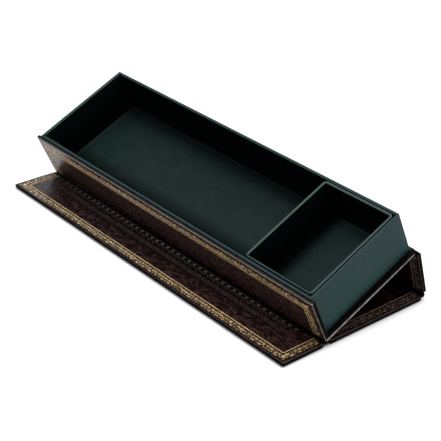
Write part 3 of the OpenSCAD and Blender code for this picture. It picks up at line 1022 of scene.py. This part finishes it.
def bend_at(u, depth, turn):
    """A place on the bent strip: u along its middle from the fold, depth across it. On the arc of angle
    t the middle lies at r sin t and r(1 - cos t) from the arc's start; the arms run on straight."""
    side = math.copysign(1.0, turn)
    full = math.radians(abs(turn))
    reach = BEND_R * math.tan(full / 2)
    half_arc = BEND_R * full / 2
    t = np.clip((u + half_arc) / BEND_R, 0, full)
    straight = np.minimum(u + half_arc, 0)
    beyond = np.maximum(u - half_arc, 0)
    y = -reach + straight + BEND_R * np.sin(t) + beyond * np.cos(t)
    z = BEND_R * (1 - np.cos(t)) + beyond * np.sin(t)
    return np.stack([y - side * depth * np.sin(t), side * z + depth * np.cos(t)], -1)


def arm_of(turn):
    """Length along the middle from the fold to the end of an arm that reaches its board."""
    full = math.radians(abs(turn))
    return JOINT_HALF + TUCK - BEND_R * math.tan(full / 2) + BEND_R * full / 2


def strip_section(turn, low, high):
    """Outline of one layer of the strip between two depths, with its outward directions."""
    arm = arm_of(turn)
    u = np.linspace(-arm, arm, STRIP_POINTS)
    there = bend_at(u, low, turn)
    back = bend_at(u, high, turn)
    across = (back - there) / (high - low)
    points = np.concatenate([there, back[::-1]])
    return points, np.concatenate([-across, across[::-1]])


def hinge_strip(name, plane, turn, low, high, half, material, slot, bodies, *nodes):
    """One layer of a hinge, bent to the angle between its two boards in the stand."""
    section, out2 = strip_section(turn, low, high)
    points, _ = carried(section, out2, even(-half + 1, half - 1, 1.5), half, 0.2 * (high - low))
    made = make_bar(name, points, plane, material)
    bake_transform(made)
    if nodes:
        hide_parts(*nodes)


STRIPS = {
    "spine": ((spine_top, tilt), spine_fold, -HINGE_IN, ("tray", "spine")),
    "lid": ((lid_back, spine_lean - 180), lid_fold, -HINGE_IN, ("spine", "lid")),
    "flap": ((lid_front, 180), 0.0, -HINGE_IN + SUNK, ("lid", "flap")),
}
glue_line = HINGE_IN - LINING / 2

for part, (plane, turn, face, bodies) in STRIPS.items():
    hinge_strip(part + "_hinge_leather", plane, turn, face, glue_line, half_len - 0.1,
                turned_leather_shaded, "leather", bodies, part + "_joint")
    hinge_strip(part + "_hinge_paper", plane, turn, glue_line, glue_line + LINING,
                half_len - LINING_MARGIN, lining_paper, "lining_paper", bodies)

# %% [markdown]
# Paper round a box
#
# The tray and the insert are card boxes. Paper goes up the outside, over the rim and a few millimetres
# down inside, where the lining meets it. The wall's section is carried round a rectangle with round
# corners: a point that lies deeper in the wall goes round a smaller rectangle with a tighter corner.
# Hand work is never even, and a perfect box looks like plastic, so the tray's walls differ a little in
# thickness and every wall is faintly wavy.

# %% Box shells
CORNER_STEPS = 5
SHARP = 0.06
SIDE_STEP = 5.0
TRAY_HALF = (107.6, 29.7)
WALL = 1.5


def ring(half_x, half_y, radius):
    """Points round a rounded rectangle of the given half sizes, and the outward directions there."""
    angles = np.linspace(0, math.pi / 2, CORNER_STEPS + 1)
    signs = np.array([(1, 1), (-1, 1), (-1, -1), (1, -1)])
    points, out = [], []
    for k, (sx, sy) in enumerate(signs):
        turn = angles + k * math.pi / 2
        out.append(np.stack([np.cos(turn), np.sin(turn)], -1))
        points.append(np.array([sx * (half_x - radius), sy * (half_y - radius)]) + radius * out[-1])
    return points, out


def ring_rows(depths, half_x, half_y, corner_r):
    """One ring for each depth d into the wall: half sizes less d, and the corner radius less d."""
    steps = [max(1, round(2 * h / SIDE_STEP)) for h in (half_x, half_y, half_x, half_y)]
    rows, outs = [], []
    for d in depths:
        points, out = ring(half_x - d, half_y - d, max(corner_r - d, SHARP))
        row, row_out = [], []
        for k in range(4):
            share = (np.arange(1, steps[k]) / steps[k])[:, None]
            ahead = points[(k + 1) % 4][0]
            row += [points[k], points[k][-1] * (1 - share) + ahead * share]
            row_out += [out[k], np.tile(out[k][-1], (steps[k] - 1, 1))]
        rows.append(np.concatenate(row))
        outs.append(np.concatenate(row_out))
    return np.array(rows), np.array(outs)


# %% Uneven walls
STAND_OUT = {"left": 0.5, "right": -0.1, "front": 0.55}


def stand_out(points):
    """The tray's left and front walls came out a little thicker than card and paste add up to, the right
    one thinner. Beyond a wall's inner face each distance is stretched in the same proportion, so that
    the outer face moves by the given amount."""
    x, y, z = points[..., 0], points[..., 1], points[..., 2]
    inner = TRAY_HALF[0] - WALL
    x = x - STAND_OUT["left"] / WALL * np.clip(-x - inner, 0, None)
    x = x + STAND_OUT["right"] / WALL * np.clip(x - inner, 0, None)
    y = y - STAND_OUT["front"] / WALL * np.clip(WALL - y, 0, None)
    return np.stack([x, y, z], -1)


# %% One skin of a box
NEVER = 9.0
WALL_WAVES = 43


def box_shell(name, middle, half_x, half_y, corner_r, section, material, slot, body, nodes, wear_and_highlight=0.0,
              front_shade_from=NEVER, right_shade_from=NEVER, uneven=0.03):
    """The wall's section, as (depth into the wall, height), carried round the box. Faces that look inwards
    take the lining's dark finish as painted shade, and on the front and right rims that shade starts at
    a given depth from the outside. The rim is made paler, as wear and as a painted highlight. The lining
    and those faces carry painted shade all over, a little less high up on the left wall, where painted
    light falls."""
    outline_2d, out2 = section
    rings, sides = ring_rows(outline_2d[:, 0], half_x, half_y, corner_r)
    z = np.broadcast_to(outline_2d[:, 1, None, None], rings.shape[:2] + (1,))
    points = np.concatenate([rings, z], -1)
    upward = np.broadcast_to(out2[:, 1, None, None], z.shape)
    out = np.concatenate([sides * -out2[:, 0, None, None], upward], -1)
    depth, height = outline_2d[:, 0, None], outline_2d[:, 1, None]
    on_rim = height > height.max() - 1
    # The rim and its rounded turns are made paler: wear and a painted highlight.
    edge = np.clip(2 * np.abs(out2[:, 0] * out2[:, 1])[:, None] + 0.4 * on_rim, 0, 1)
    # Painted shade on the inner part of the front and right rims, from a given depth.
    at_right = np.where(sides[..., 0] > 0.7, right_shade_from, NEVER)
    shade_from = np.where(sides[..., 1] < -0.7, front_shade_from, at_right)
    shaded_inside = (out2[:, 0, None] > 0.93) | (on_rim & (depth > shade_from))
    # Painted light high up on the left wall; painted shade on the lining and on faces that look in.
    lit = np.clip(-sides[..., 0], 0, 1) * np.clip((height - 6) / 14, 0, 1)
    shy = np.where(shaded_inside | (material == lining_paper), 1 - 0.2 * lit, 0)
    points = points + np.array(middle) + out * np.minimum(wavy(points, uneven, WALL_WAVES), 0)[..., None]
    if body == "tray":
        points = stand_out(points)
    count = points.shape[:2]
    placed = to_case(points.reshape(-1, 3), TRAY)
    faces = outward(placed, [grid_cells(*count, close_rows=True)])
    made = make_piece(name, placed, faces, material, (lining_paper, shaded_inside),
                      edge=wear_and_highlight * edge * (1 - shaded_inside), shy=shy)
    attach(made, body)
    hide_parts(*nodes)


# %% [markdown]
# Tray and insert
#
# The covering paper's section is a thin frame round the wall card, rounded at the rim. The lining's
# section comes down the wall, turns into the floor in a small cove, because paper never folds into a
# dead corner, and runs in under the floor pad.

# %% Sections of the papers
TURN_DOWN = 3.0
TURN_UNDER = 9.0
COVE_R = 0.8


def wrap_section(wall, height, rim_r, inner_r):
    """Covering paper: up the outside, over the rim, down to the turned edge, in under the floor."""
    inner = wall - PAPER
    corners = [(0, 0), (TURN_UNDER, 0), (TURN_UNDER, PAPER), (inner, PAPER), (inner, height - TURN_DOWN),
               (wall, height - TURN_DOWN), (wall, height), (0, height)]
    return outline(corners, [PAPER, 0, 0, 0, 0, 0, inner_r, rim_r], [3, 1, 3, 3, 1, 1.5, 0.4, 2.0])


def tub_section(wall, height, floor):
    """Lining: down the wall from the turned edge, round the cove and in under the pad."""
    top, under = height - TURN_DOWN, wall + 6
    corners = [(wall - PAPER, floor - PAPER), (under, floor - PAPER), (under, floor), (wall, floor),
               (wall, top), (wall - PAPER, top)]
    return outline(corners, [0, 0, 0, COVE_R, 0, 0], [3, 1, 1.5, 2.0, 1, 3])


# %% Tray and insert, outside and inside
TRAY_H = 25.4
TRAY_FLOOR = 1.7
TRAY_RIM_R = 0.5
TRAY_INNER_R = 0.70
TRAY_MIDDLE = (0.0, TRAY_HALF[1], 0.0)
insert_ends = box_mm("insert_wrap")[0][0], box_mm("insert_wrap")[1][0]
INSERT_HALF = ((insert_ends[1] - insert_ends[0]) / 2, 27.9)
INSERT_H = 22.4
INSERT_WALL = 1.2
INSERT_FLOOR = 1.2
INSERT_RIM_R = 0.4
INSERT_INNER_R = 0.6
INSERT_CORNER_R = 2.0
INSERT_MIDDLE = ((insert_ends[0] + insert_ends[1]) / 2, TRAY_HALF[1], 2.5)
print(f"insert {2 * INSERT_HALF[0]:.2f} long, its middle at x = {INSERT_MIDDLE[0]:.2f}")

tray_box = (TRAY_MIDDLE, *TRAY_HALF, TRAY_RIM_R)
box_shell("tray_paper", *tray_box, wrap_section(WALL, TRAY_H, TRAY_RIM_R, TRAY_INNER_R),
          cover_paper, "cover_paper", "tray", ["tray_wrap"], wear_and_highlight=0.22, front_shade_from=0.7, right_shade_from=0.7)
box_shell("tray_lining", *tray_box, tub_section(WALL, TRAY_H, TRAY_FLOOR),
          lining_paper, "lining_paper", "tray", ["tray_liner"])
insert_box = (INSERT_MIDDLE, *INSERT_HALF, INSERT_CORNER_R)
box_shell("insert_paper", *insert_box, wrap_section(INSERT_WALL, INSERT_H, INSERT_RIM_R, INSERT_INNER_R),
          cover_paper, "cover_paper", "insert", ["insert_wrap"], wear_and_highlight=0.9, front_shade_from=0.5, uneven=0.02)
box_shell("insert_lining", *insert_box, tub_section(INSERT_WALL, INSERT_H, INSERT_FLOOR),
          lining_paper, "lining_paper", "insert", ["insert_liner"], uneven=0.02)

# %% [markdown]
# Floor pads
#
# A card covered with the lining paper lies on each floor, a little smaller than the floor. Its edge is
# paler, partly from wear and partly as a painted highlight, and makes the thin pale line round the
# floor. Drawing that line into a texture would be quicker, but a real pad also has a step that catches
# the light. Towards the walls the pad gets painted shade, which a smooth function of place says.

# %% Floor pads
PAD = 0.5
PAD_GAP = 1.8
PAD_LINE = 0.8
PAD_SOFT = 0.2
PAD_WAVES = (0.05, 29)


def tray_shade(points):
    """Painted shade on the pad towards the front and back walls, by the distance from the middle."""
    y = points[..., 1]
    return np.clip((-y - 10) / 11, 0, 0.85) + 0.7 * np.clip((y - 15.8) / 8.5, 0, 1) ** 1.5


def insert_shade(points):
    """The same in the insert: the painted shadow of its left wall."""
    return np.clip((-points[..., 0] - 12) / 5.5, 0, 1)


def floor_pad(name, middle, half_x, half_y, wall, floor, body, node, shade, line_wear_and_highlight):
    """A covered card on the floor, with soft edges: a bar that is shorter and narrower than the floor."""
    wide, long = half_y - wall - PAD_GAP, half_x - wall - PAD_GAP
    line_at = wide - PAD_LINE
    corners = [(-wide, 0), (wide, 0), (wide, PAD), (line_at, PAD), (-line_at, PAD), (-wide, PAD)]
    section, out2 = outline(corners, [0, 0, PAD_SOFT, 0, 0, PAD_SOFT], [2.5, 0.3, 0.5, 2.5, 0.5, 0.3])
    between = even(-long + PAD_LINE, long - PAD_LINE, 2.5)
    points, out = carried(section, out2, between, long, PAD_SOFT)
    from_rim = np.minimum(wide - np.abs(points[..., 1]), long - np.abs(points[..., 0]))
    line = np.clip(1.1 - from_rim / PAD_LINE, 0, 1)
    on_top = out[..., 2] > FLAT
    shy = shade(points)
    points = points + out * (on_top * np.minimum(wavy(points, *PAD_WAVES), 0))[..., None]
    points = points + np.array(middle) + np.array([0, 0, floor])
    # The pale edge line, wear and a painted highlight, gives way where painted shade lies.
    made = make_bar(name, points, TRAY, lining_paper, edge=line_wear_and_highlight * line * (1 - shy), shy=shy)
    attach(made, body)
    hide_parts(node)


floor_pad("tray_pad", TRAY_MIDDLE, *TRAY_HALF, WALL, TRAY_FLOOR, "tray", "tray_floor_pad",
          tray_shade, 1.0)
floor_pad("insert_pad", INSERT_MIDDLE, *INSERT_HALF, INSERT_WALL, INSERT_FLOOR, "insert",
          "insert_floor_pad", insert_shade, 0.4)

# %% [markdown]
# The gold roll
#
# The border is a traditional roll: two waves that cross like a plait with a bead in every eye, a row of
# long and short beads outside it, and one firm line inside. It is drawn once, as a straight run in its
# own coordinates: t along, e from the edge, h above the skin. A ribbon is a low arched section carried
# along a curve, a bead is three shrinking rings. Runs meet at a corner without crossing, and a lozenge
# fills it. A picture of the roll would be lighter, but real leaf has an edge that catches light.

# %% Ribbons and beads
ROLL_PITCH = 5.1
SINK = 0.10
RAISE = 0.06
ACROSS = np.array([-0.5, -0.5, -0.28, 0.28, 0.5, 0.5])
RIBBON_H = np.array([-SINK, 0.0, RAISE, RAISE, 0.0, -SINK])


def ribbon(t, e, width):
    """A low arched strip along the curve (t, e), with six section points laid across it at each place."""
    dt, de = np.gradient(t), np.gradient(e)
    length = np.hypot(dt, de)
    across = np.stack([-de / length, dt / length], -1)
    centre = np.stack([t, e], -1)[:, None]
    flat = centre + across[:, None] * (ACROSS * width)[None, :, None]
    points = np.concatenate([flat, np.broadcast_to(RIBBON_H[None, :, None], flat.shape[:2] + (1,))], -1)
    return points.reshape(-1, 3), bar_faces(len(t), len(ACROSS))


def beads(t, e, long, wide, power=1.0, sides=10):
    """Low domes at the given places. Each has three rings, at 1, 1 and 0.55 of its size, and a point at
    its top and its bottom. A ring is an ellipse whose cosine and sine are raised to a power: below one
    it is squarer, above one it has four points."""
    angle = np.linspace(0, 2 * math.pi, sides, endpoint=False)
    c, s = np.cos(angle), np.sin(angle)
    x, y = np.sign(c) * np.abs(c) ** power, np.sign(s) * np.abs(s) ** power
    shape = np.stack([x * long / 2, y * wide / 2], -1)
    scales, heights = np.array([1.0, 1.0, 0.55]), np.array([-SINK, 0.0, RAISE + 0.01])
    rings = np.concatenate([shape[None] * scales[:, None, None],
                            np.broadcast_to(heights[:, None, None], (3, sides, 1))], -1).reshape(-1, 3)
    one = np.concatenate([rings, [[0, 0, RAISE + 0.02], [0, 0, -SINK]]])
    places = np.stack([t, e, np.zeros_like(t)], -1)
    points = (places[:, None] + one[None]).reshape(-1, 3)
    turn = np.arange(sides)
    following = (turn + 1) % sides
    walls = grid_cells(3, sides)
    top = np.stack([2 * sides + turn, 2 * sides + following, np.full(sides, 3 * sides)], -1)
    foot = np.stack([following, turn, np.full(sides, 3 * sides + 1)], -1)
    starts = (np.arange(len(t)) * len(one))[:, None, None]
    return points, [(group[None] + starts).reshape(-1, group.shape[1]) for group in (walls, top, foot)]


# %% One run of the roll
RULE_POINTS = 2 * len(ACROSS)
CHAIN_W = 0.36
WAVE_H = 0.72
CORNER_CLEAR = 1.0
EYE = (1.15, 0.80)
LONG_BEAD = (2.6, 0.95, 0.7)
SHORT_BEAD = (1.0, 0.85)


def roll(length, cut_start, cut_end, shift=0.0):
    """A straight run: rule, plait with a bead in each eye, and long and short beads outside. The plait is
    two sine waves of opposite sign. A cut end stops short of the corner. The last value marks the rule's
    points, which come first."""
    rule, chain, dash = RULE_AT + shift, CHAIN_AT + shift, DASH_AT + shift
    begin = chain + CORNER_CLEAR if cut_start else 0.0
    stop = length - chain - CORNER_CLEAR if cut_end else length
    eyes = max(2, round((stop - begin) / (ROLL_PITCH / 2)))
    pitch = (stop - begin) / eyes
    t = np.linspace(begin, stop, eyes * 8 + 1)
    wave = WAVE_H * np.sin(math.pi * (t - begin) / pitch)
    middle = begin + (np.arange(eyes) + 0.5) * pitch
    pairs = begin + (np.arange(eyes // 2) + 0.5) * 2 * pitch
    low, high = (rule if cut_start else 0.0), (length - rule if cut_end else length)
    line = np.array([low, high])
    points, faces = merged([
        ribbon(line, np.full(2, rule), RULE_W),
        ribbon(t, chain + wave, CHAIN_W),
        ribbon(t, chain - wave, CHAIN_W),
        beads(middle, np.full(eyes, chain), *EYE),
        beads(pairs, np.full(len(pairs), dash), *LONG_BEAD),
        beads(pairs[:-1] + pitch, np.full(len(pairs) - 1, dash), *SHORT_BEAD),
    ])
    return points, faces, (np.arange(len(points)) < RULE_POINTS).astype(float)


def lozenge(t, e):
    """The corner's four-pointed bead, and three small beads round it."""
    spots = np.array([[0, 0], [-1.25, 1.0], [1.0, -1.25], [-1.5, -1.5]]) + [t, e]
    big = beads(spots[:1, 0], spots[:1, 1], 2.3, 2.3, 1.8, 16)
    small = beads(spots[1:, 0], spots[1:, 1], 0.7, 0.7)
    points, faces = merged([big, small])
    return points, faces, np.ones(len(points))


print("faces in a 20 mm run:", sum(len(group) for group in roll(20.0, True, True)[1]))

# %% [markdown]
# Laying the gold on the panels
#
# A run knows nothing of the panel. Three small maps lay it down: along the long edge, or along the
# right or left end. Mirroring a run turns its faces inside out, so each laid run is checked again. The
# front board stands on edge, so its own map swaps the directions.

# %% Runs on the panels


def along_front(run, reach):
    """t from the left end to the right, e in from the long free edge."""
    points, faces, firm = run
    laid = np.stack([points[:, 0] - half_len, reach - points[:, 1], points[:, 2]], -1)
    return laid, faces, firm


def along_end(run, side, start):
    """t away from the hinge, e in from one end."""
    points, faces, firm = run
    laid = np.stack([side * (half_len - points[:, 1]), start + points[:, 0], points[:, 2]], -1)
    return laid, faces, firm


def on_leather(laid):
    """(x, distance from the hinge, height above the skin) to the flat points of a hinged panel."""
    return np.stack([laid[:, 0], laid[:, 1], LEATHER_FACE - laid[:, 2]], -1)


def on_front(laid):
    """(x, height up the board, height above the skin) to the flat points of the front board."""
    return np.stack([laid[:, 0], -laid[:, 2], laid[:, 1]], -1)


def gild(name, runs, lay, plane, body, leaf):
    """Joins laid runs into one gold piece on a body."""
    parts = []
    for laid, faces, _ in runs:
        placed = to_case(lay(laid), plane)
        parts.append((placed, outward(placed, faces)))
    points, faces = merged(parts)
    made = make_piece(name, points, faces, leaf, firm=np.concatenate([firm for _, _, firm in runs]))
    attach(made, body)


def framed(reach, start, shift=0.0):
    """Runs round a free edge and up both ends, with a lozenge in each corner."""
    full = 2 * half_len
    corner = CHAIN_AT + shift
    ends = roll(reach - start, False, True, shift)
    runs = [along_front(roll(full, True, True, shift), reach)]
    runs += [along_end(ends, side, start) for side in (-1, 1)]
    runs += [along_front(lozenge(corner, corner), reach)]
    mirrored, faces, firm = lozenge(corner, corner)
    runs += [along_front((mirrored * [-1, 1, 1] + [full, 0, 0], faces, firm), reach)]
    return runs


def bordered(start, stop):
    """Runs along the two ends only."""
    run = roll(stop - start, False, False)
    return [along_end(run, side, start) for side in (-1, 1)]


SHORT_OF = 0.3
near_end = JOINT_HALF + SHORT_OF
front_runs = framed(FRONT_H, FOLD_R + SHORT_OF, FRONT_SHIFT)
gild("flap_gold", framed(flap_reach, near_end), on_leather, FLAP, "flap", gold)
gild("front_gold", front_runs, on_front, BODY, "tray", gold_front)
gild("lid_gold", bordered(near_end, lid_far - SHORT_OF), on_leather, LID, "lid", gold_shaded)
gild("spine_gold", bordered(near_end, spine_far - SHORT_OF), on_leather, SPINE, "spine", gold_shaded)

# %% [markdown]
# Finishes for the hidden pieces
#
# The boards, fillers, cards and magnets keep the model's own shapes and get their real materials.

# %% Materials on the kept nodes


def refinish():
    """Gives each of the model's nodes its finish, nickel for magnets and grey board for the rest, and
    counts those that no piece of this lesson has replaced."""
    count = 0
    for name, node in frame["nodes"].items():
        finish = steel if "magnets" in name else board
        for slot in node.material_slots:
            slot.material = finish
        count += not node.hide_render
    print("nodes kept from the model:", count)


refinish()

# %% [markdown]
# Table and light
#
# The object stands on a white table in soft studio light. The main light is a large soft one straight
# above, which is why the upright inside walls are almost black. A low, weak one at the right brings up
# the end of the tray and the thin pale edges. To the camera and to reflections the surroundings are
# plain white, and the polished leather mirrors them at its far left. The table glows by itself to the
# camera, less so close under the case, where ambient occlusion stands for the shadow that a real table
# would show there, and more far out, so that its rim does not show as a grey band in a low view.

# %% Table
TABLE_HALF = 1500.0
TABLE_DROP = 0.05
SHADOW_REACH = 5.0
SHADOW_FALL = 1.6
NEAR_GLOW, FAR_GLOW = 0.50, 1.20
GLOW_GROWS = (500, 900)
TABLE_POINTS = 9


def make_table():
    """A flat sheet under the case, white to the camera and to reflections, and shaded close to the case,
    where light is kept off."""
    side = np.linspace(-TABLE_HALF, TABLE_HALF, TABLE_POINTS)
    x, y = np.meshgrid(side, side)
    points = np.stack([x.ravel(), y.ravel(), np.full(x.size, -TABLE_DROP)], -1)
    material, tree = new_material("table_white")
    path = add(tree, "ShaderNodeLightPath")
    seen = math_node(tree, "MAXIMUM", path.outputs["Is Camera Ray"], path.outputs["Is Glossy Ray"])
    grain = noise(tree, in_mm(tree), 0.5, detail=3)
    white = ramp(tree, grain, (0.0, (0.80, 0.80, 0.80)), (1.0, (0.86, 0.86, 0.86)))
    plain = add(tree, "ShaderNodeBsdfDiffuse", {"Color": white})
    sky = add(tree, "ShaderNodeAmbientOcclusion", {"Distance": SHADOW_REACH * MM}, samples=12)
    kept = times(tree, seen, math_node(tree, "POWER", sky.outputs["AO"], SHADOW_FALL))
    away = add(tree, "ShaderNodeVectorMath", {0: in_mm(tree)}, operation="LENGTH").outputs["Value"]
    strength = times(tree, kept, spread(tree, away, NEAR_GLOW, FAR_GLOW, *GLOW_GROWS))
    glow = add(tree, "ShaderNodeEmission", {"Color": (1, 1, 1, 1), "Strength": strength})
    both = add(tree, "ShaderNodeAddShader")
    tree.links.new(plain.outputs[0], both.inputs[0])
    tree.links.new(glow.outputs[0], both.inputs[1])
    finish_with(tree, both)
    cells = grid_cells(TABLE_POINTS, TABLE_POINTS, close_columns=False)
    table = make_piece("table", points, [cells], material)


make_table()

# %% World and lamps
AMBIENT = 0.35
MAIN_LIGHT = ((60, 60, 1000), (0, 0, 0), 1100, 9.3)
END_LIGHT = ((900, -300, 150), (90, 0, 20), 320, 0.2)


def make_world():
    """White to the camera and to reflections, a weak even light to everything else."""
    world = bpy.data.worlds.new("studio")
    world.use_nodes = True
    tree = world.node_tree
    tree.nodes.clear()
    path = add(tree, "ShaderNodeLightPath")
    seen = math_node(tree, "MAXIMUM", path.outputs["Is Camera Ray"], path.outputs["Is Glossy Ray"])
    seen = math_node(tree, "MAXIMUM", seen, path.outputs["Is Transmission Ray"])
    strength = spread(tree, seen, AMBIENT, 1.0)
    sky = add(tree, "ShaderNodeBackground", {"Color": (1, 1, 1, 1), "Strength": strength})
    add(tree, "ShaderNodeOutputWorld", {"Surface": sky.outputs[0]})
    bpy.context.scene.world = world


def make_lamp(name, place_mm, aim_mm, size_mm, watts):
    """A square soft light at a place, turned to face its aim, with its width and its power."""
    data = bpy.data.lights.new(name, "AREA")
    data.size = size_mm * MM
    data.energy = watts
    lamp = bpy.data.objects.new(name, data)
    place, aim = Vector(place_mm) * MM, Vector(aim_mm) * MM
    facing = (place - aim).to_track_quat("Z", "Y").to_matrix().to_4x4()
    lamp.matrix_world = Matrix.Translation(place) @ facing
    bpy.context.scene.collection.objects.link(lamp)


make_world()
make_lamp("main_light", *MAIN_LIGHT)
make_lamp("end_light", *END_LIGHT)
bpy.context.scene.view_settings.view_transform = "Standard"
